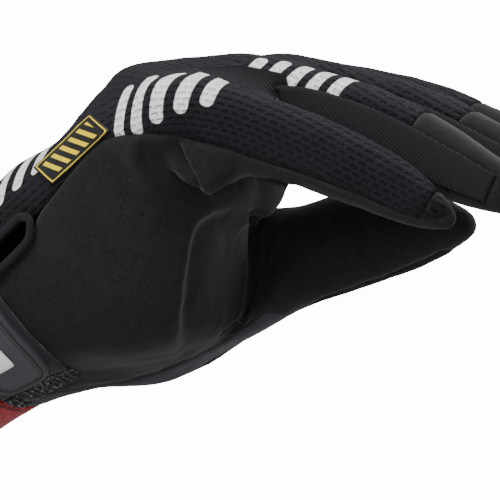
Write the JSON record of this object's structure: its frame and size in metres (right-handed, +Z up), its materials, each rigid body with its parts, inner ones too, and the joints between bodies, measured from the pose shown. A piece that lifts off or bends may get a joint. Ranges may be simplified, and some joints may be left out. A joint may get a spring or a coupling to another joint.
{
  "type": "mechanic glove",
  "caption": "Right-hand work glove in a half closed grip: knit back, leather palm, side strips between the fingers, wrist vent and hook closing strap.",
  "frame": {"origin": "middle of the wrist opening at the cuff's end", "axes": "+X toward the finger tips, level; +Y toward the thumb side; +Z up, as the worn glove is held: the fingers reach forward and the wrist hangs back and down"},
  "size_m": [0.2008, 0.1216, 0.1097],
  "materials": {
    "knit": "ribbed knit with rows of short dark stitches",
    "palm_leather": "suede-like synthetic leather, fine nap",
    "stretch": "fine ribbed stretch fabric",
    "red_webbing": "woven band with a dark stitched line",
    "strap_fabric": "brushed loop fabric",
    "hook": "rough hook tape",
    "plate_rubber": "moulded satin rubber with a raised rim",
    "white_inset": "smooth white",
    "label": "woven label with a yellow frame and slanted bars"
  },
  "bodies": {
    "root": {"back_panel": "knit", "palm_panel": "palm_leather", "side_strip_1": "stretch", "side_strip_2": "stretch", "side_strip_3": "stretch", "thumb_back": "knit", "thumb_front": "palm_leather", "cuff_band": "red_webbing", "closing_strap": "strap_fabric", "hook_patch": "hook", "strap_plate": "plate_rubber", "plate_inset": "white_inset", "side_label": "label", "vent_binding": "stretch"}
  },
  "joints": []
}
